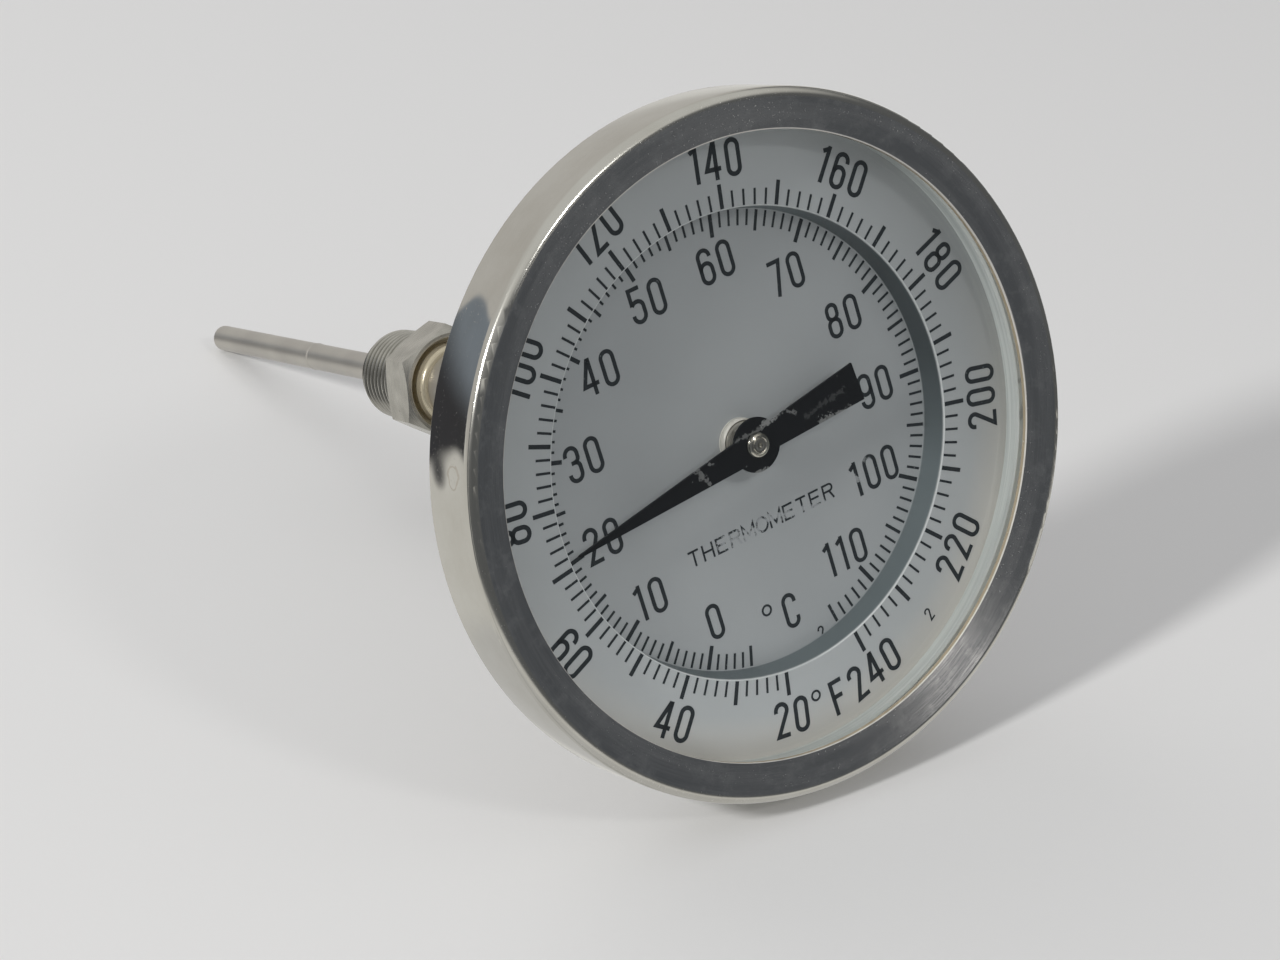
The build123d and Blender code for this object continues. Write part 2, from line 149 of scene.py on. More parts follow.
class Look:
    """A material around one Principled shader. Its methods add nodes and return the last one's output."""

    def __init__(self, name, colour, metallic=0.0, roughness=0.5, **constants):
        self.material = bpy.data.materials.new(name)
        self.material.use_nodes = True
        self.tree = self.material.node_tree
        self.shader = self.tree.nodes["Principled BSDF"]
        self.shader.inputs["Base Color"].default_value = (*colour, 1)
        self.shader.inputs["Metallic"].default_value = metallic
        self.shader.inputs["Roughness"].default_value = roughness
        for socket, value in constants.items():
            self.shader.inputs[socket.replace("_", " ")].default_value = value
        self.place = self.tree.nodes.new("ShaderNodeTexCoord").outputs["Object"]

    def node(self, kind, inputs, **settings):
        return add_node(self.tree, kind, inputs, **settings)

    def set(self, socket, value):
        """Feeds one of the shader's sockets from a node's output."""
        self.tree.links.new(value, self.shader.inputs[socket])

    def math(self, operation, a, b=0.0, clamp=False):
        return self.node("Math", {0: a, 1: b}, operation=operation, use_clamp=clamp).outputs[0]

    def vector(self, operation, a, b=(0, 0, 0)):
        made = self.node("VectorMath", {0: a, 1: b}, operation=operation)
        return made.outputs["Value" if operation in ("DOT_PRODUCT", "LENGTH") else "Vector"]

    def times(self, a, b):
        return self.math("MULTIPLY", a, b)

    def stretch(self, scale):
        """The place, scaled along x, y and z."""
        return self.vector("MULTIPLY", self.place, scale)

    def noise(self, vector, scale=1.0, detail=2.0, rough=0.5):
        return self.node(
            "TexNoise", {"Vector": vector, "Scale": scale, "Detail": detail, "Roughness": rough}
        ).outputs[0]

    def spread(self, value, low, high, to_low=0.0, to_high=1.0):
        """The value's range low..high laid onto to_low..to_high, and held at its ends."""
        return self.node(
            "MapRange",
            {"Value": value, "From Min": low, "From Max": high, "To Min": to_low, "To Max": to_high},
        ).outputs[0]

    def mix(self, share, a, b):
        """Colour a where share is 0 and colour b where it is 1."""
        return add_mix(self.tree, share, a, b)

    def between(self, share, a, b):
        """Value a where share is 0 and value b where it is 1."""
        return self.node("Mix", {0: share, VALUE_MIX_A: a, VALUE_MIX_B: b}).outputs[0]

    def around(self, per_radius, per_turn):
        """Coordinates for marks that run round the Y axis: the first changes across them, the others
        along."""
        x, y, z = self.node("SeparateXYZ", {0: self.place}).outputs
        flat = self.node("CombineXYZ", {0: x, 2: z}).outputs[0]
        radius = self.vector("LENGTH", flat)
        unit = self.vector("NORMALIZE", flat)
        ux, _, uz = self.node("SeparateXYZ", {0: unit}).outputs
        across = self.times(self.math("ADD", radius, y), per_radius)
        along_x = self.times(ux, per_turn)
        along_z = self.times(uz, per_turn)
        return self.node("CombineXYZ", {0: across, 1: along_x, 2: along_z}).outputs[0]

    def radius(self):
        """Distance from the stem's axis."""
        return self.vector("LENGTH", self.stretch((1, 0, 1)))

    def height(self):
        """Place along the stem's axis, towards its tip."""
        return self.node("SeparateXYZ", {0: self.place}).outputs[1]

    def bump(self, value, depth, after=None):
        """Raises the surface by depth metres where value is 1, on top of the bump that after gives."""
        inputs = {"Height": value, "Distance": depth, "Strength": 1.0}
        if after is not None:
            inputs["Normal"] = after
        made = self.node("Bump", inputs).outputs[0]
        self.set("Normal", made)
        return made


# Linear colours of the dial, its ink and the pointer's paint.
DIAL_COLOUR = (0.385, 0.410, 0.420)
DISC_COLOUR = (0.330, 0.352, 0.362)
INK_COLOUR = (0.014, 0.018, 0.022)
POINTER_COLOUR = (0.006, 0.0066, 0.009)

FACING_REFLECTION = 0.045                        # share of light that the pane's side reflects straight back

# Where the printed ink is rubbed off: from and to (x, z in mm), half width, strength.
INK_WEAR = [
    ((-9.5, -17.2), (-2.8, -18.6), 4.6, 0.9),
    ((-1.0, -16.6), (15.0, -20.4), 2.6, 0.85),
    ((21.0, -16.4), (23.4, -19.0), 1.6, 0.8),
    ((25.2, -15.4), (27.2, -16.2), 1.3, 0.6),
]

# Where the pointer's paint is rubbed through at rest: from and to (x, z in mm), half width, strength.
POINTER_WEAR = [
    ((-4.2, 2.7), (2.1, 2.5), 1.3, 0.5),
    ((2.6, 3.1), (6.9, 3.5), 1.6, 0.95),
    ((8.6, 3.4), (10.2, 2.0), 1.1, 0.6),
    ((12.0, 0.4), (22.0, 1.6), 1.5, 0.15),
    ((15.5, -1.9), (27.0, -3.4), 1.9, 0.75),
    ((-2.0, -5.3), (1.6, -5.4), 1.1, 0.8),
    ((-14.2, 1.0), (-12.7, -2.4), 1.5, 0.6),
    ((-11.4, 1.2), (-10.6, 0.8), 0.9, 0.6),
]


def dress(look, *names):
    """Gives a look to CAD nodes."""
    for name in names:
        mesh = nodes[name].data
        mesh.materials.clear()
        mesh.materials.append(look.material)


def bezel_steel():
    """Stainless ring: its dished face is brushed round the axis, its lip's inner edge carries a painted
    highlight towards the top right, and its deep side band is polished, bulges a little and carries a dried
    water mark."""
    look = Look("bezel_steel", (0.66, 0.65, 0.61), 1.0, 0.12)
    side = look.spread(look.radius(), RIDGE_R - 0.05 * MM, RIDGE_R + 0.20 * MM)
    brushing = look.noise(look.around(per_radius=7000, per_turn=8), detail=5, rough=0.65)
    bands = look.noise(look.around(per_radius=420, per_turn=1.6), detail=3)
    cloud = look.noise(look.place, 70, 4, 0.6)
    marks = bezel_marks(look, bands)
    lip, under_lip = lip_edge(look)
    steel = look.mix(side, brushed_colour(look, brushing, bands), polished_colour(look, cloud))
    stained = look.times(look.times(water_mark(look), side), 0.38)
    steel = look.mix(stained, steel, (0.42, 0.36, 0.28))
    # The lip's pale inner edge and the painted highlight beside it, with the tan gasket under them.
    steel = look.mix(under_lip, look.mix(lip, steel, (0.90, 0.87, 0.81)), (0.46, 0.39, 0.28))
    look.set("Base Color", look.mix(look.times(marks, 0.5), steel, (0.80, 0.79, 0.77)))
    look.set("Metallic", look.spread(lip, 0.0, 1.0, 1.0, 0.3))
    rough = bezel_roughness(look, side, brushing, cloud)
    look.set("Roughness", look.math("ADD", rough, look.times(marks, 0.2)))
    bezel_relief(look, side, brushing, marks)
    return look


def bezel_marks(look, bands):
    """Nicks along the brushing and small pits, in some bands only."""
    along = look.noise(look.around(per_radius=3400, per_turn=150), detail=3, rough=0.6)
    nicks = look.spread(along, 0.66, 0.71)
    pits = look.spread(look.noise(look.place, 1500, 2), 0.71, 0.76)
    return look.times(look.math("MAXIMUM", nicks, pits), look.spread(bands, 0.40, 0.60))


def brushed_colour(look, brushing, bands):
    """The face's steel, in paler and darker rings, with fine lines and scuffs."""
    steel = look.mix(look.spread(bands, 0.35, 0.65), (0.52, 0.53, 0.54), (0.74, 0.74, 0.74))
    steel = look.mix(look.spread(brushing, 0.38, 0.62, 0.0, 0.45), steel, (0.38, 0.39, 0.40))
    scuffs = look.spread(look.noise(look.place, 190, 6, 0.72), 0.50, 0.66, 0.0, 0.5)
    return look.mix(scuffs, steel, (0.86, 0.86, 0.85))


def polished_colour(look, cloud):
    """The side band's steel under a cloudy, finely lined film."""
    lines = look.noise(look.around(per_radius=2600, per_turn=5), detail=4, rough=0.6)
    film = look.times(look.spread(cloud, 0.35, 0.70), look.spread(lines, 0.2, 0.8, 0.6, 1.0))
    return look.mix(film, (0.675, 0.665, 0.625), (0.59, 0.575, 0.525))


def lip_edge(look):
    """Where the lip's pale inner edge shows, with a painted highlight that widens it towards the top right,
    and where the tan gasket shows under it."""
    edge = look.spread(look.radius(), LIP_R + 0.04 * MM, LIP_R + 0.10 * MM, 1.0, 0.0)
    towards_top = look.spread(look.vector("DOT_PRODUCT", look.place, (0.5, 0, 0.87)), 12 * MM, 38 * MM)
    # Painted highlight: the pale edge is widened towards the top right.
    painted_highlight_band = look.spread(look.radius(), LIP_R + 0.14 * MM, LIP_R + 0.26 * MM, 1.0, 0.0)
    lip = look.math("MAXIMUM", edge, look.times(painted_highlight_band, towards_top))
    behind = look.spread(look.height(), LIP_FRONT + 0.32 * MM, LIP_FRONT + 0.42 * MM)
    return lip, look.times(lip, behind)


def bezel_roughness(look, side, brushing, cloud):
    """Satin on the face, smoother on the side band, and a little rougher round the rolled corner."""
    satin = look.spread(brushing, 0.3, 0.7, 0.13, 0.22)
    rolled = look.spread(look.radius(), SIDE_R - 0.5 * MM, SIDE_R - 0.15 * MM, 1.0, 0.0)
    smooth = look.math("ADD", look.spread(cloud, 0.3, 0.7, 0.04, 0.085), look.times(rolled, 0.13))
    return look.between(side, satin, smooth)


def bezel_relief(look, side, brushing, marks):
    """Brushing on the face, marks, the side band's bulge and its shallow dents, one on another."""
    across = look.spread(look.height(), BAND_FRONT, BAND_BACK, -1.0, 1.0)
    bulge = look.times(look.times(across, across), -1.0)
    dents = look.times(look.noise(look.place, 75, 2), side)
    face = look.math("SUBTRACT", 1.0, side)
    first = look.bump(look.times(brushing, face), 3.0e-6)
    second = look.bump(marks, -6e-6, first)
    third = look.bump(bulge, BAND_BULGE, second)
    look.bump(dents, 1.6e-5, third)


def water_mark(look):
    """The thin outline that a dried drop left on the side band, at WATER_MARK."""
    offset = look.vector("SUBTRACT", look.place, WATER_MARK)
    wobble = look.spread(look.noise(look.place, 500, 2), 0.3, 0.7, -0.5 * MM, 0.5 * MM)
    reach = look.math("ADD", look.vector("LENGTH", offset), wobble)
    outline = look.math("ABSOLUTE", look.math("SUBTRACT", reach, 1.9 * MM))
    return look.spread(outline, 0.1 * MM, 0.35 * MM, 1.0, 0.0)


def satin_steel():
    """Drawn and satin-finished stainless of the case back, neck and stem."""
    look = Look("satin_steel", (0.60, 0.58, 0.54), 1.0, 0.3)
    fine = look.noise(look.around(per_radius=3000, per_turn=14), detail=4, rough=0.6)
    cloud = look.noise(look.place, 60, 3)
    look.set("Base Color", look.mix(look.spread(cloud, 0.35, 0.65), (0.55, 0.53, 0.50), (0.63, 0.61, 0.57)))
    look.set("Roughness", look.spread(fine, 0.3, 0.7, 0.36, 0.50))
    look.bump(fine, 5e-6)
    return look


def machined_steel():
    """Turned and milled fitting: painted shade down its thread's grooves, nicks, and a straw tint at its
    recess.
    """
    look = Look("machined_steel", (0.58, 0.56, 0.52), 1.0, 0.25)
    turned = look.noise(look.around(per_radius=4200, per_turn=3), detail=3)
    nicks = look.spread(look.noise(look.stretch((300, 300, 700)), detail=3, rough=0.6), 0.68, 0.73)
    cloud = look.noise(look.place, 160, 3)
    steel = look.mix(look.spread(cloud, 0.35, 0.65), (0.40, 0.39, 0.355), (0.56, 0.545, 0.50))
    # Painted shade: the thread's grooves are darkened nearly to black.
    steel = look.mix(look.times(thread_groove(look), 0.92), steel, (0.10, 0.095, 0.07))
    inside = look.spread(look.radius(), RECESS_R - 0.1 * MM, RECESS_R + 0.3 * MM, 1.0, 0.0)
    recess = look.times(inside, look.spread(look.height(), RECESS_BACK - 0.4 * MM, RECESS_BACK, 1.0, 0.0))
    steel = look.mix(look.times(recess, 0.85), steel, (0.60, 0.53, 0.38))
    look.set("Base Color", look.mix(look.times(nicks, 0.8), steel, (0.14, 0.13, 0.12)))
    look.set("Metallic", look.spread(recess, 0.0, 1.0, 0.82, 0.5))
    look.set("Roughness", look.spread(turned, 0.3, 0.7, 0.16, 0.32))
    first = look.bump(turned, 4e-6)
    look.bump(nicks, -3e-5, first)
    return look


def thread_groove(look):
    """Where the thread lies well below its tapering crests, which is where its shade is painted."""
    height = look.height()
    crest = look.math("SUBTRACT", THREAD_R, look.times(height, THREAD_TAPER))
    depth = look.math("SUBTRACT", crest, look.radius())
    return look.times(look.spread(depth, 0.12 * MM, 0.55 * MM), look.spread(height, 0.2 * MM, 0.6 * MM))


def turned_nickel():
    """Small plated parts at the middle of the dial: a dull turned flat inside a bright rim."""
    look = Look("turned_nickel", (0.78, 0.76, 0.69), 0.3, 0.3)
    rings = look.noise(look.around(per_radius=5200, per_turn=0.5), detail=2)
    stains = look.spread(look.noise(look.place, 420, 3), 0.55, 0.66)
    pale = look.mix(look.spread(rings, 0.35, 0.65), (0.68, 0.66, 0.59), (0.80, 0.78, 0.72))
    shade = look.mix(look.times(stains, 0.6), pale, (0.26, 0.24, 0.19))
    from_rim = look.math("ABSOLUTE", look.math("SUBTRACT", look.radius(), NUT_R - 0.55 * MM))
    turned_line = look.spread(from_rim, 0.08 * MM, 0.16 * MM, 1.0, 0.0)
    look.set("Base Color", look.mix(turned_line, shade, (0.20, 0.18, 0.14)))
    look.set("Roughness", look.spread(rings, 0.3, 0.7, 0.22, 0.38))
    first = look.bump(rings, 1.6e-5)
    look.bump(turned_line, -1.5e-4, first)
    return look


def cap_nickel():
    """The pointer's domed cap, with turned rings and a dimple at its middle."""
    look = Look("cap_nickel", (0.78, 0.74, 0.66), 1.0, 0.2)
    rings = look.noise(look.around(per_radius=3300, per_turn=0.15), detail=1)
    look.set("Base Color", look.mix(look.spread(rings, 0.4, 0.6), (0.34, 0.32, 0.27), (0.76, 0.73, 0.66)))
    dimple = look.spread(look.radius(), 0.15 * MM, 0.4 * MM, 1.0, 0.0)
    first = look.bump(rings, 6.0e-5)
    look.bump(dimple, -1.5e-4, first)
    return look


def window_glass():
    """Clear flat pane: it reflects as glass does, more at a glance, the same from inside and outside,
    and lets the rest of the light through unbent."""
    look = Look("window_glass", (0.93, 0.97, 0.96), 1.0, 0.02)
    glance = look.math("POWER", look.node("LayerWeight", {"Blend": 0.5}).outputs["Facing"], 5.0)
    look.set("Alpha", look.spread(glance, 0.0, 1.0, FACING_REFLECTION, 1.0))
    smears = look.noise(look.stretch((40, 40, 70)), detail=4)
    look.set("Roughness", look.spread(smears, 0.4, 0.7, 0.015, 0.06))
    return look


def dial_satin():
    """Satin anodised dial with a fine grain and paler clouds, painted light and shade on its ring and down
    the wall of its step, and a painted highlight along the step's edge.
    """
    look = Look("dial_satin", DIAL_COLOUR, 0.15, 0.45)
    grain = look.noise(look.place, 2600, 2)
    cloud = look.spread(look.noise(look.place, 26, 2), 0.3, 0.7, 0.0, 0.12)
    to_right = look.vector("DOT_PRODUCT", look.place, (0.966, 0, 0.259))
    to_foot = look.vector("DOT_PRODUCT", look.place, (0.2, 0, -0.98))
    radius, height = look.radius(), look.height()
    pale = look.mix(look.spread(radius, STEP_R - 0.2 * MM, STEP_R), DISC_COLOUR, DIAL_COLOUR)
    pale = look.mix(cloud, pale, (0.62, 0.65, 0.66))
    # Painted light: the ring is paler and warmer near its rim towards the foot.
    rim_painted_light = look.spread(radius, 53 * MM, 62 * MM, 0.0, 0.6)
    pale = look.mix(look.times(rim_painted_light, look.spread(to_foot, -5 * MM, 35 * MM)), pale, (0.60, 0.565, 0.50))
    # Painted shade: the ring darkens towards the right, under the bezel.
    pale = look.mix(look.spread(to_right, 38 * MM, 60 * MM, 0.0, 0.45), pale, (0.21, 0.225, 0.23))
    # Painted shade and painted reflection down the wall of the step, darker towards the right.
    below_edge = look.spread(height, RING_FRONT + 0.3 * MM, RING_FRONT + 0.7 * MM)
    above_foot = look.spread(height, DISC_FRONT - 0.4 * MM, DISC_FRONT - 0.1 * MM, 1.0, 0.0)
    painted_wall_shade = look.mix(look.spread(to_right, 32 * MM, 44 * MM), (0.135, 0.17, 0.18), (0.03, 0.042, 0.047))
    pale = look.mix(look.times(look.times(below_edge, above_foot), 0.9), pale, painted_wall_shade)
    # Painted highlight: a pale line along the edge of the step, on the ring's front.
    from_edge = look.math("ABSOLUTE", look.math("SUBTRACT", radius, STEP_R))
    painted_edge_highlight = look.spread(from_edge, 0.12 * MM, 0.22 * MM, 1.0, 0.0)
    in_front = look.spread(height, RING_FRONT + 0.2 * MM, RING_FRONT + 0.4 * MM, 1.0, 0.0)
    look.set("Base Color", look.mix(look.times(painted_edge_highlight, in_front), pale, (0.62, 0.65, 0.65)))
    look.set("Roughness", look.spread(grain, 0.3, 0.7, 0.38, 0.52))
    look.bump(grain, 4e-6)
    return look


def dial_ink():
    """Printed ink: nearly black, with pinholes, chipped along the printed word and rubbed off part of it."""
    look = Look("dial_ink", INK_COLOUR, 0.0, 0.45, Specular_IOR_Level=0.2)
    ragged = look.noise(look.place, 1300, 4, 0.65)
    pinholes = look.spread(look.noise(look.place, 1500, 3, 0.6), 0.69, 0.73)
    worn = look.times(pinholes, 0.5)
    for start, end, half, strength in INK_WEAR:
        worn = look.math("MAXIMUM", worn, rubbed_line(look, ragged, start, end, half, strength))
    look.set("Base Color", look.mix(worn, INK_COLOUR, DISC_COLOUR))
    return look


def pointer_black():
    """Black paint on the pointer, rubbed to the metal across its hub, on its tail and part of the way
    along the needle."""
    look = Look("pointer_black", POINTER_COLOUR, 0.0, 0.4, Specular_IOR_Level=0.1)
    ragged = look.noise(look.place, 1300, 4, 0.65)
    worn = look.times(look.spread(look.noise(look.place, 800, 3, 0.6), 0.70, 0.74), 0.5)
    for start, end, half, strength in POINTER_WEAR:
        worn = look.math("MAXIMUM", worn, rubbed_line(look, ragged, start, end, half, strength))
    look.set("Base Color", look.mix(worn, POINTER_COLOUR, (0.30, 0.31, 0.305)))
    look.set("Roughness", look.spread(ragged, 0.3, 0.7, 0.34, 0.48))
    look.bump(look.noise(look.place, 900, 3), 1.2e-5)
    return look


def rubbed_line(look, ragged, start, end, half, strength):
    """Wear along the line from start to end, x and z in mm, that reaches half mm to each side."""
    first = Vector((start[0], 0, start[1])) * MM
    along = Vector((end[0], 0, end[1])) * MM - first
    flat = look.stretch((1, 0, 1))
    offset = look.vector("SUBTRACT", flat, first)
    share = look.math("DIVIDE", look.vector("DOT_PRODUCT", offset, along), along.length_squared, clamp=True)
    nearest = look.node("VectorMath", {0: along, "Scale": share}, operation="SCALE").outputs["Vector"]
    away = look.vector("LENGTH", look.vector("SUBTRACT", offset, nearest))
    near = look.spread(away, half * MM, 0.0, 0.0, 0.42)
    broken = look.spread(look.math("ADD", near, ragged), 0.76, 0.86)
    return look.times(broken, strength)


def gasket_rubber():
    """Dark rubber under the dial's edge."""
    look = Look("gasket_rubber", (0.05, 0.05, 0.05), 0.0, 0.7)
    grain = look.noise(look.place, 1400, 3)
    look.set("Base Color", look.mix(grain, (0.035, 0.035, 0.035), (0.08, 0.08, 0.078)))
    look.bump(grain, 2e-5)
    return look


def lens_gasket_fibre():
    """Tan fibre ring under the bezel's lip, seen through the edge of the pane."""
    look = Look("gasket_fibre", (0.80, 0.70, 0.58), 0.0, 0.6)
    grain = look.noise(look.place, 900, 3)
    look.set("Base Color", look.mix(grain, (0.70, 0.60, 0.48), (0.90, 0.80, 0.68)))
    look.bump(grain, 2e-5)
    return look


def spacer_plastic():
    """Milky ring that holds the pane off the dial."""
    look = Look("spacer_plastic", (0.55, 0.59, 0.58), 0.0, 0.25)
    rings = look.noise(look.around(per_radius=2400, per_turn=1.5), detail=2)
    look.set("Base Color", look.mix(look.spread(rings, 0.35, 0.65), (0.46, 0.50, 0.49), (0.62, 0.655, 0.64)))
    look.bump(rings, 8e-6)
    return look


def bearing_brass():
    """Turned brass of the bushes and of the helix's ends."""
    look = Look("bearing_brass", (0.72, 0.56, 0.28), 1.0, 0.28)
    rings = look.noise(look.around(per_radius=4000, per_turn=2), detail=3)
    look.set("Base Color", look.mix(rings, (0.60, 0.45, 0.21), (0.80, 0.64, 0.36)))
    look.bump(rings, 8e-6)
    return look


def shaft_steel():
    """Ground steel of the pointer's shaft, unevenly smooth round the axis."""
    look = Look("shaft_steel", (0.6, 0.6, 0.6), 1.0, 0.2)
    rings = look.noise(look.around(per_radius=5000, per_turn=2), detail=3)
    look.set("Roughness", look.spread(rings, 0.3, 0.7, 0.14, 0.3))
    return look


def bimetal_strip():
    """The coiled strip inside the stem."""
    look = Look("bimetal_strip", (0.5, 0.47, 0.42), 1.0, 0.35)
    bands = look.noise(look.stretch((2500, 300, 2500)), detail=2)
    look.set("Base Color", look.mix(bands, (0.40, 0.37, 0.33), (0.60, 0.55, 0.48)))
    return look


dress(bezel_steel(), "bezel_ring")
dress(satin_steel(), "case_pan", "case_boss", "neck_tube", "stem_upper_tube", "stem_joint_ring",
      "stem_sensing_tube", "stem_tip")
dress(machined_steel(), "process_fitting", "neck_collar")
dress(turned_nickel(), "dial_nut", "pointer_bush", "upper_bearing")
dress(cap_nickel(), "pointer_cap")
dress(window_glass(), "window_lens")
dress(dial_satin(), "dial_plate")
dress(pointer_black(), "pointer_blade")
dress(lens_gasket_fibre(), "lens_gasket")
dress(gasket_rubber(), "dial_support_ring")
dress(spacer_plastic(), "lens_spacer")
dress(bearing_brass(), "neck_guide_bush", "stem_guide_bush", "thrust_collar",
      "helix_coupling", "helix_anchor")
dress(shaft_steel(), "pointer_shaft")
dress(bimetal_strip(), "bimetal_helix")

# ---------------------------------------------------------------- printed scales

INK = dial_ink()
INK_THICK = 0.04 * MM                            # the ink stands this proud of the dial
INK_ROOT = 0.01 * MM                             # and reaches this far into it

# Sizes of the printing, in mm.
STEP_EDGE_R = 45.9                               # the Fahrenheit marks start here and run outward
STEP_FOOT_R = 44.7                               # the Celsius marks start here and run inward
MINOR, MEDIUM, MAJOR = (3.1, 0.50), (4.1, 0.66), (4.7, 0.86)   # length and width of the marks
NUMERAL = (2.6, 6.5)                             # width and height of a numeral's centreline
NUMERAL_STEP = 4.65
NUMERAL_STROKE = 0.9
CELSIUS_STROKE = NUMERAL_STROKE * 0.92
FAHRENHEIT_NUMERAL_R = 55.1
CELSIUS_NUMERAL_R = 35.2
CELSIUS_HOT_NUMERAL_R = 33.6                     # the numerals from 70 to 100 stand further in
NARROW_ONE = 0.72                                # a 1 takes this share of a numeral's step
WORD_LETTER = (2.25, 2.85)
WORD_STEP = 3.32
WORD_STROKE = 0.42
DEGREE_STROKE = 0.45
SMALL_TWO_WIDTH, SMALL_TWO_STROKE = 1.15, 0.36

# The scale's run, in degrees clockwise from 12 o'clock.
MIDDLE_FAHRENHEIT = 130
HALF_SPAN_FAHRENHEIT = 110
HALF_SPAN_ANGLE = 168.9
SCALE_BEND = 5.14                                # how far the middle lags an even scale
CELSIUS_SHIFT = 0.87


def arc(cx, cy, rx, ry, start, end, steps=12):
    """Points on part of an ellipse, its angles in degrees anticlockwise from +x."""
    return [
        (cx + rx * cos(radians(start + (end - start) * i / steps)),
         cy + ry * sin(radians(start + (end - start) * i / steps)))
        for i in range(steps + 1)
    ]


def top_arc(start, end):
    """Part of the round top of a character."""
    return arc(0.5, 0.8, 0.5, 0.2, start, end)


def low_arc(start, end):
    """Part of the round foot of a character."""
    return arc(0.5, 0.2, 0.5, 0.2, start, end)


SIX = [(1, 0.77), *top_arc(0, 180), *low_arc(180, 360), *arc(0.5, 0.4, 0.5, 0.2, 0, 180)]

# Each character is a list of strokes, and each stroke its centreline in a box one wide and one high.
STROKES = {
    "0": [[*top_arc(0, 180), *low_arc(180, 360), (1, 0.8)]],
    "1": [[(0.62, -0.06), (0.62, 1.06)], [(0.58, 0.97), (0.12, 0.85)]],
    "2": [[(0, 0.75), *top_arc(180, -20), (0.03, 0), (1.08, 0)]],
    "3": [[(0, 0.77), *top_arc(180, 0), *arc(0.6, 0.68, 0.4, 0.14, 0, -90, 6), (0.35, 0.54)],
          [(0.6, 0.54), *arc(0.6, 0.39, 0.4, 0.15, 90, 0, 6), *low_arc(0, -180), (0, 0.24)]],
    "4": [[(0.74, -0.06), (0.74, 1.06)], [(0.68, 1.04), (-0.08, 0.26), (1.16, 0.26)]],
    "5": [[(1, 1), (0.05, 1), (0.05, 0.52)], [(0.05, 0.52), *arc(0.5, 0.44, 0.5, 0.18, 140, 0, 8),
                                             *low_arc(0, -180), (0, 0.24)]],
    "6": [SIX],
    "7": [[(-0.06, 1), (1, 1), (0.34, -0.06)]],
    "8": [[*arc(0.5, 0.83, 0.44, 0.17, 0, 180), *arc(0.5, 0.7, 0.44, 0.16, 180, 360), (0.94, 0.83)],
          [*arc(0.5, 0.36, 0.5, 0.18, 0, 180), *low_arc(180, 360), (1, 0.36)]],
    "9": [[(1 - x, 1 - y) for x, y in SIX]],
    "C": [[(1, 0.73), *top_arc(0, 180), *low_arc(180, 360), (1, 0.27)]],
    "F": [[(0, -0.06), (0, 1), (1.05, 1)], [(0, 0.53), (0.85, 0.53)]],
    "E": [[(1, 1), (0, 1), (0, 0), (1, 0)], [(0, 0.52), (0.92, 0.52)]],
    "H": [[(0, -0.07), (0, 1.07)], [(1, -0.07), (1, 1.07)], [(0, 0.52), (1, 0.52)]],
    "M": [[(-0.1, -0.07), (-0.1, 1.0), (0.5, 0.2), (1.1, 1.0), (1.1, -0.07)]],
    "O": [arc(0.5, 0.5, 0.58, 0.5, 0, 360, 28)],
    "R": [[(0, -0.07), (0, 1), (0.7, 1), *arc(0.7, 0.76, 0.3, 0.24, 90, -90, 8), (0, 0.52)],
          [(0.62, 0.52), (1, -0.07)]],
    "T": [[(-0.05, 1), (1.05, 1)], [(0.5, 1), (0.5, -0.07)]],
}


def placed(x, z, turn):
    """A function that lays text coordinates, in mm, on the dial at x, z, with their top turned clockwise."""
    c, s = cos(radians(turn)), sin(radians(turn))
    return lambda u, v: (x + u * c + v * s, z - u * s + v * c)


def written(text, size, step, stroke, lay):
    """The strokes of a text, centred where lay puts its 0, 0: a list of (points, stroke width)."""
    widths = [NARROW_ONE * step if letter == "1" else step for letter in text]
    reach = -sum(widths) / 2
    made = []
    for letter, width in zip(text, widths):
        middle = reach + width / 2
        for line in STROKES[letter]:
            points = [lay(middle + (x - 0.5) * size[0], (y - 0.5) * size[1]) for x, y in line]
            made.append((points, stroke))
        reach += width
    return made


def ribbon(points, width):
    """Left and right edges of a flat stroke along the points, with mitred corners."""
    closed = hypot(points[0][0] - points[-1][0], points[0][1] - points[-1][1]) < 1e-6
    line = [Vector(p) for p in points]
    line = [p for i, p in enumerate(line) if i == 0 or (p - line[i - 1]).length > 1e-5]
    edges = []
    for i, p in enumerate(line):
        before = line[i - 1] if i else (line[-2] if closed else None)
        after = line[i + 1] if i + 1 < len(line) else (line[1] if closed else None)
        a = (p - before).normalized() if before is not None else (after - p).normalized()
        b = (after - p).normalized() if after is not None else a
        normal = Vector((-(a + b).y, (a + b).x)).normalized()
        reach = width / 2 / max(0.35, normal.dot(Vector((-a.y, a.x))))
        edges.append((p + normal * reach, p - normal * reach))
    return edges


INK_PIECES = []


def ink_piece(name, strokes, front):
    """One thin raised mesh of many strokes, printed on the plane y = front."""
    vertices, faces = [], []
    for points, width in strokes:
        edges = ribbon(points, width)
        start = len(vertices)
        for left, right in edges:
            for side in (left, right):
                vertices.append((side.x * MM, front - INK_THICK, side.y * MM))
                vertices.append((side.x * MM, front + INK_ROOT, side.y * MM))
        for i in range(len(edges) - 1):
            a, b = start + 4 * i, start + 4 * (i + 1)
            faces += [(a, b, b + 2, a + 2), (a, a + 1, b + 1, b), (a + 2, b + 2, b + 3, a + 3)]
        last = start + 4 * (len(edges) - 1)
        faces += [(start, start + 2, start + 3, start + 1), (last, last + 1, last + 3, last + 2)]
    mesh = bpy.data.meshes.new(name)
    mesh.from_pydata(vertices, [], faces)
    mesh.materials.append(INK.material)
    piece = bpy.data.objects.new(name, mesh)
    bpy.context.scene.collection.objects.link(piece)
    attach(piece, "case_and_stem")
    INK_PIECES.append(piece)


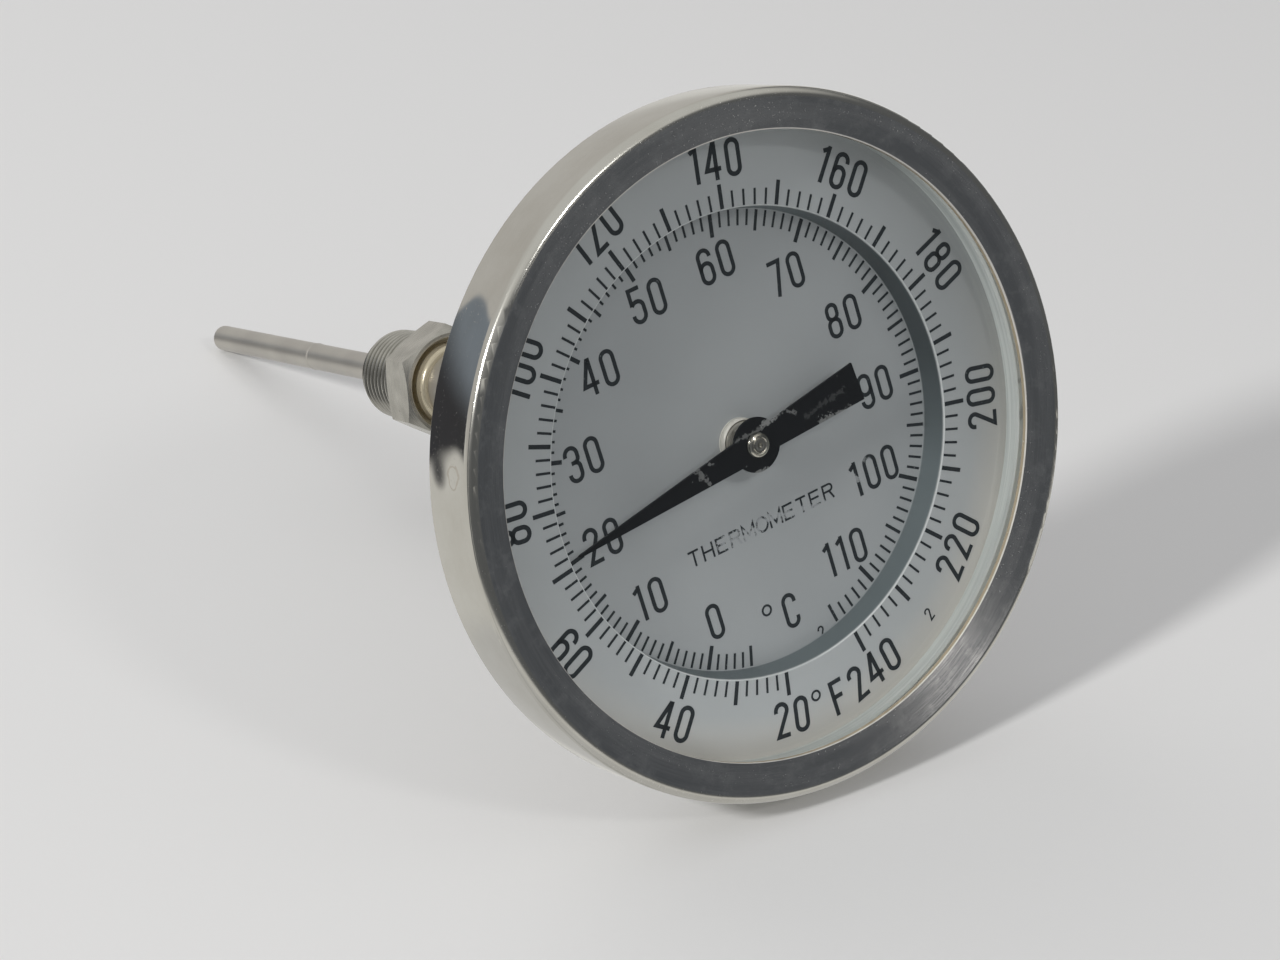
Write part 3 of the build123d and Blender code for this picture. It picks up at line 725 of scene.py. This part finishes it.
def scale_angle(fahrenheit):
    """Where a temperature stands on the dial. The bimetal turns a little more per degree when hot."""
    share = (fahrenheit - MIDDLE_FAHRENHEIT) / HALF_SPAN_FAHRENHEIT
    return HALF_SPAN_ANGLE * share + SCALE_BEND * (share * share - 1)


def celsius_angle(celsius):
    """Where a Celsius mark stands: its ring is turned a little against the Fahrenheit ring."""
    return scale_angle(1.8 * celsius + 32) + CELSIUS_SHIFT


def mark(angle, start_r, kind, direction):
    """A radial tick from start_r, outward for direction 1 and inward for -1."""
    length, width = kind
    s, c = sin(radians(angle)), cos(radians(angle))
    end_r = start_r + direction * length
    return [(start_r * s, start_r * c), (end_r * s, end_r * c)], width


def on_dial(radius, angle, turn):
    """Lays text at a radius and an angle on the dial, with its top turned clockwise by turn."""
    return placed(radius * sin(radians(angle)), radius * cos(radians(angle)), turn)


def degree_sign(x, z, radius):
    """A small ring at x, z."""
    return [(arc(x, z, radius, radius, 0, 360, 20), DEGREE_STROKE)]


def small_two(height, lay):
    """The little 2 printed near the end of each scale."""
    return written("2", (SMALL_TWO_WIDTH, height), NUMERAL_STEP, SMALL_TWO_STROKE, lay)


def fahrenheit_scale():
    """The outer ring: a mark every 2 degrees and a numeral every 20, which face outward from its foot."""
    marks = [
        mark(scale_angle(f), STEP_EDGE_R, MAJOR if f % 10 == 0 else MINOR, 1) for f in range(20, 241, 2)
    ]
    ink_piece("fahrenheit_marks", marks, RING_FRONT)
    strokes = []
    for f in range(20, 241, 20):
        angle = scale_angle(f)
        turn = angle + 180 if abs(angle) > 95 else angle
        lay = on_dial(FAHRENHEIT_NUMERAL_R, angle, turn)
        strokes += written(str(f), NUMERAL, NUMERAL_STEP, NUMERAL_STROKE, lay)
    strokes += written("F", NUMERAL, NUMERAL_STEP, NUMERAL_STROKE, placed(1.0, -55.4, 0))
    strokes += degree_sign(-4.0, -52.7, 0.95)
    strokes += small_two(2.6, placed(26.8, -49.9, 331.5))
    ink_piece("fahrenheit_numerals", strokes, RING_FRONT)


def celsius_scale():
    """The sunk disc: a mark every degree, a numeral every 10, the letter C and the worn word."""
    marks = []
    for c in range(-5, 116):
        kind = MAJOR if c % 10 == 0 else MEDIUM if c % 5 == 0 else MINOR
        marks.append(mark(celsius_angle(c), STEP_FOOT_R, kind, -1))
    ink_piece("celsius_marks", marks, DISC_FRONT)
    strokes = []
    for c in range(0, 111, 10):
        radius = CELSIUS_HOT_NUMERAL_R if 70 <= c <= 100 else CELSIUS_NUMERAL_R
        lay = on_dial(radius, celsius_angle(c), 0.8)
        strokes += written(str(c), NUMERAL, NUMERAL_STEP, CELSIUS_STROKE, lay)
    strokes += written("C", NUMERAL, NUMERAL_STEP, CELSIUS_STROKE, placed(-0.3, -36.7, 1.5))
    strokes += degree_sign(-5.5, -34.1, 1.0)
    strokes += small_two(2.9, placed(4.9, -44.4, 0))
    ink_piece("celsius_numerals", strokes, DISC_FRONT)
    word = written("THERMOMETER", WORD_LETTER, WORD_STEP, WORD_STROKE, placed(-0.7, -17.6, 2.2))
    ink_piece("dial_word", word, DISC_FRONT)


fahrenheit_scale()
celsius_scale()

# ---------------------------------------------------------------- table, light and surroundings

FLOOR_R = 3.0
FLOOR_CORNER_ANGLES = range(0, 360, 5)
LIGHT_DISTANCE = 3.0
LIGHT_COLOUR = (1.0, 0.99, 0.97)
CASE_FOOT = CASE_MIDDLE - TABLE_NORMAL * (CASE_MIDDLE.dot(TABLE_NORMAL) - TABLE_HEIGHT)

# What polished metal sees of the room, as linear colours, and where.
TABLE_SEEN, TABLE_SEEN_BELOW = (0.66, 0.65, 0.62), (0.56, 0.555, 0.54)
WALL_LOW, WALL_HIGH = (0.55, 0.535, 0.51), (0.64, 0.64, 0.62)
DARK_ROOM, DARK_ROOM_WAY = (0.108, 0.112, 0.116), from_table(0.80, -0.60, 0.0)
STREAK = (0.42, 0.42, 0.405)
GLINT, GLINT_WAY = (1.0, 0.965, 0.93), from_table(0.79, -0.55, 0.285).normalized()
DARK_SHAPE_LOW, DARK_SHAPE_HIGH = (0.050, 0.050, 0.055), (0.22, 0.25, 0.29)
DARK_SHAPE_WAY = from_table(-0.855, 0.50, -0.06).normalized()
DARK_SHAPE_WOBBLE = 0.08
# The even light on everything else, and what the camera sees past the table.
SOFT_LOW, SOFT_HIGH = (0.24, 0.24, 0.24), (0.42, 0.42, 0.425)
BACKDROP = (0.72, 0.72, 0.71)


def make_floor():
    """A wide pale sheet under the thermometer, clear from below. Metal and bounced light see the
    surroundings in its place."""
    look = Look("pale_sheet", (0.8, 0.8, 0.8), 0.0, 0.7)
    look.bump(look.noise(look.place, 900, 3), 2e-5)
    backfacing = look.node("NewGeometry", {}).outputs["Backfacing"]
    clear = look.node("BsdfTransparent", {}).outputs[0]
    one_sided = look.node("MixShader", {0: backfacing, 1: look.shader.outputs[0], 2: clear}).outputs[0]
    look.tree.links.new(one_sided, look.tree.nodes["Material Output"].inputs["Surface"])
    mesh = bpy.data.meshes.new("floor")
    corners = [
        CASE_FOOT + from_table(FLOOR_R * cos(radians(a)), FLOOR_R * sin(radians(a)), 0)
        for a in FLOOR_CORNER_ANGLES
    ]
    mesh.from_pydata(corners, [], [list(range(len(corners)))])
    mesh.materials.append(look.material)
    floor = bpy.data.objects.new("floor", mesh)
    bpy.context.scene.collection.objects.link(floor)
    floor.visible_glossy = False
    floor.visible_diffuse = False


def make_lamp(name, side_angle, height_angle, distance, size, watts):
    """A round soft lamp, side_angle degrees to the right of the camera's side of the table."""
    side, height = radians(side_angle), radians(height_angle)
    towards = from_table(sin(side) * cos(height), -cos(side) * cos(height), sin(height))
    return hang_lamp(name, CASE_MIDDLE + towards * distance, towards, size, watts)


def hang_lamp(name, place, back, size, watts):
    """A round lamp at place, that shines away from the direction back."""
    light = bpy.data.lights.new(name, "AREA")
    light.shape = "DISK"
    light.size = size
    light.energy = watts
    light.color = LIGHT_COLOUR
    lamp = bpy.data.objects.new(name, light)
    lamp.location = place
    lamp.rotation_mode = "QUATERNION"
    lamp.rotation_quaternion = back.to_track_quat("Z", "Y")
    bpy.context.scene.collection.objects.link(lamp)
    return lamp


def make_fill(name, place, aim, size, watts, lit, screens):
    """A weak card that lights only some pieces, and is blocked only by others: place is from the
    foot of the case, and aim from the card, both along the table's directions."""
    lamp = hang_lamp(name, CASE_FOOT + from_table(*place), -from_table(*aim), size, watts)
    lamp.visible_glossy = False
    for key, pieces in (("receiver_collection", lit), ("blocker_collection", screens)):
        linked = bpy.data.collections.new(name + "_" + key)
        for piece in pieces:
            linked.objects.link(piece)
        setattr(lamp.light_linking, key, linked)


def make_fills():
    """Behind the pane: a glow at the dial's foot, a soft light from above, and one round the rim."""
    rim = [nodes["lens_spacer"], nodes["lens_gasket"]]
    hub = [nodes["dial_nut"], nodes["pointer_bush"]]
    dial = [nodes["dial_plate"], *hub, *INK_PIECES]
    over_dial = [nodes["case_pan"], nodes["pointer_blade"], nodes["pointer_cap"]]
    make_fill("foot_fill", (0.050, -0.085, 0.010), (-0.50, 0.83, 0.24), size=0.06, watts=0.032,
              lit=[nodes["dial_plate"], *rim, *INK_PIECES], screens=[nodes["case_pan"]])
    make_fill("dial_fill", (0.30, -0.40, 0.52), (-0.30, 0.40, -0.45), size=0.22, watts=0.75,
              lit=dial, screens=over_dial)
    make_fill("rim_fill", (-0.60, -0.50, 0.62), (0.60, 0.50, -0.55), size=0.20, watts=1.1,
              lit=[*rim, *hub], screens=[nodes["case_pan"]])


def facing(tree, looking, axis, low, high):
    """0 to 1 as the looking direction's part along axis goes from low to high."""
    along = add_node(tree, "VectorMath", {0: looking, 1: axis}, operation="DOT_PRODUCT").outputs["Value"]
    return add_node(tree, "MapRange", {"Value": along, "From Min": low, "From Max": high},
                    interpolation_type="SMOOTHSTEP").outputs[0]


def product(tree, a, b):
    """The place where both a and b are 1."""
    return add_node(tree, "Math", {0: a, 1: b}, operation="MULTIPLY").outputs[0]


def table_and_walls(tree, direction, level):
    """A pale table below and pale walls above."""
    table = add_mix(tree, facing(tree, direction, TABLE_NORMAL, -0.63, -0.70), TABLE_SEEN, TABLE_SEEN_BELOW)
    walls = add_mix(tree, facing(tree, direction, TABLE_NORMAL, 0.3, 0.9), WALL_LOW, WALL_HIGH)
    return add_mix(tree, level, table, walls)


def with_dark_room(tree, direction, room):
    """The dark part of the room in front and to the right, with one pale streak and one bright spot."""
    below_ceiling = facing(tree, direction, TABLE_NORMAL, 0.75, 0.45)
    off_table = product(tree, below_ceiling, facing(tree, direction, TABLE_NORMAL, -0.46, -0.34))
    in_front = facing(tree, direction, DARK_ROOM_WAY, -0.42, -0.34)
    streak = product(tree, facing(tree, direction, DARK_ROOM_WAY, -0.24, -0.20),
                     facing(tree, direction, DARK_ROOM_WAY, -0.10, -0.14))
    room = add_mix(tree, product(tree, in_front, off_table), room, DARK_ROOM)
    room = add_mix(tree, product(tree, streak, below_ceiling), room, STREAK)
    return add_mix(tree, facing(tree, direction, GLINT_WAY, 0.9974, 0.9998), room, GLINT)


def with_dark_shape(tree, direction, room):
    """The dark shape with a wavy outline, behind and to the left."""
    noise = add_node(tree, "TexNoise", {"Vector": direction, "Scale": 3.2, "Detail": 1.0}).outputs["Color"]
    swing = add_node(tree, "VectorMath", {0: noise, 1: (0.5, 0.5, 0.5)}, operation="SUBTRACT").outputs[0]
    wave = add_node(tree, "VectorMath", {0: swing, "Scale": DARK_SHAPE_WOBBLE}, operation="SCALE").outputs[0]
    bent = add_node(tree, "VectorMath", {0: direction, 1: wave}, operation="ADD").outputs[0]
    height = facing(tree, direction, TABLE_NORMAL, -0.10, 0.08)
    tone = add_mix(tree, height, DARK_SHAPE_LOW, DARK_SHAPE_HIGH)
    return add_mix(tree, facing(tree, bent, DARK_SHAPE_WAY, 0.962, 0.970), room, tone)


def make_surroundings():
    """Even pale light for the table and dial. Polished metal sees a room instead, and the camera a
    plain backdrop."""
    world = bpy.data.worlds.new("room")
    bpy.context.scene.world = world
    world.use_nodes = True
    tree = world.node_tree
    tree.nodes.clear()
    direction = add_node(tree, "TexCoord", {}).outputs["Generated"]
    level = facing(tree, direction, TABLE_NORMAL, -0.08, 0.06)
    room = table_and_walls(tree, direction, level)
    room = with_dark_room(tree, direction, room)
    room = with_dark_shape(tree, direction, room)
    path = add_node(tree, "LightPath", {})
    light = add_mix(tree, path.outputs["Is Glossy Ray"], add_mix(tree, level, SOFT_LOW, SOFT_HIGH), room)
    light = add_mix(tree, path.outputs["Is Camera Ray"], light, BACKDROP)
    background = add_node(tree, "Background", {"Color": light, "Strength": 1.0}).outputs[0]
    output = add_node(tree, "OutputWorld", {"Surface": background})
    output.is_active_output = True


make_floor()
make_lamp("lamp_left", side_angle=-47.3, height_angle=32.6, distance=LIGHT_DISTANCE, size=0.4, watts=50)
make_lamp("lamp_right", side_angle=44.3, height_angle=37.2, distance=LIGHT_DISTANCE, size=0.4, watts=8.8)
back_lamp = make_lamp(
    "lamp_back", side_angle=-135, height_angle=45, distance=LIGHT_DISTANCE / 2, size=1.5, watts=3.2
)
back_lamp.visible_glossy = False
make_fills()
make_surroundings()
bpy.context.scene.view_settings.view_transform = "Standard"
